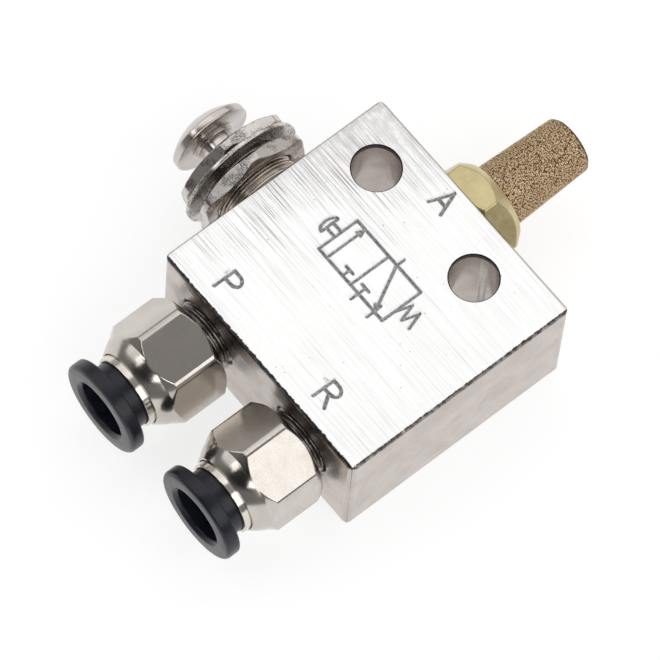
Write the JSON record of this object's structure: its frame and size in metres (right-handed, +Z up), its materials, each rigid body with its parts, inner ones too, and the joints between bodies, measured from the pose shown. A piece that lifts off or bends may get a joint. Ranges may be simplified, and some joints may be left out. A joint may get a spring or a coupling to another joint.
{
  "type": "push-button air valve with muffler",
  "caption": "Block-shaped three-port push-button air valve with a threaded panel neck, push-in tube fittings and a sintered bronze muffler.",
  "frame": {"origin": "centre of the body's bottom face", "axes": "+Z up through the two mounting holes, +X towards the muffler on port A, +Y towards the push button"},
  "size_m": [0.0721, 0.0533, 0.018],
  "materials": {
    "body_nickel": "nickel plated, milled top face",
    "neck_nickel": "nickel plated, threaded",
    "nut_nickel": "nickel plated, semi-bright",
    "button_nickel": "nickel plated, turned and polished",
    "fitting_nickel": "nickel plated, bright",
    "guide_bright": "polished nickel plate",
    "release_black": "satin acetal",
    "grip_steel": "stamped stainless steel",
    "backup_plastic": "natural acetal",
    "stem_nickel": "nickel plated, turned",
    "muffler_brass": "turned brass, satin",
    "sintered_bronze": "sintered, porous grain",
    "spring_steel": "drawn spring wire",
    "seal_rubber": "nitrile rubber"
  },
  "bodies": {
    "valve": {"valve_body": "body_nickel", "neck_bushing": "neck_nickel", "bushing_gasket": "seal_rubber", "stem_seal": "seal_rubber", "panel_nut_inner": "nut_nickel", "panel_washer": "nut_nickel", "panel_nut_outer": "nut_nickel", "return_spring": "spring_steel", "fitting_body_p": "fitting_nickel", "guide_ring_p": "guide_bright", "grip_ring_p": "grip_steel", "backup_ring_p": "backup_plastic", "tube_seal_p": "seal_rubber", "fitting_body_r": "fitting_nickel", "guide_ring_r": "guide_bright", "grip_ring_r": "grip_steel", "backup_ring_r": "backup_plastic", "tube_seal_r": "seal_rubber", "muffler_base": "muffler_brass", "muffler_element": "sintered_bronze"},
    "plunger": {"plunger_spool": "stem_nickel", "push_button": "button_nickel", "spool_seal_upper": "seal_rubber", "spool_seal_lower": "seal_rubber"},
    "release_p": {"release_ring_p": "release_black"},
    "release_r": {"release_ring_r": "release_black"}
  },
  "joints": [
    {"name": "button_press", "type": "slide", "parent": "valve", "child": "plunger", "axis": [0, -1, 0], "range_m": [0, 0.003], "stiffness_N_per_m": 1200, "springref_m": -0.004, "deforming": ["return_spring"]},
    {"name": "release_p_press", "type": "slide", "parent": "valve", "child": "release_p", "axis": [1, 0, 0], "range_m": [0, 0.0015], "stiffness_N_per_m": 400, "springref_m": -0.002},
    {"name": "release_r_press", "type": "slide", "parent": "valve", "child": "release_r", "axis": [1, 0, 0], "range_m": [0, 0.0015], "stiffness_N_per_m": 400, "springref_m": -0.002}
  ]
}
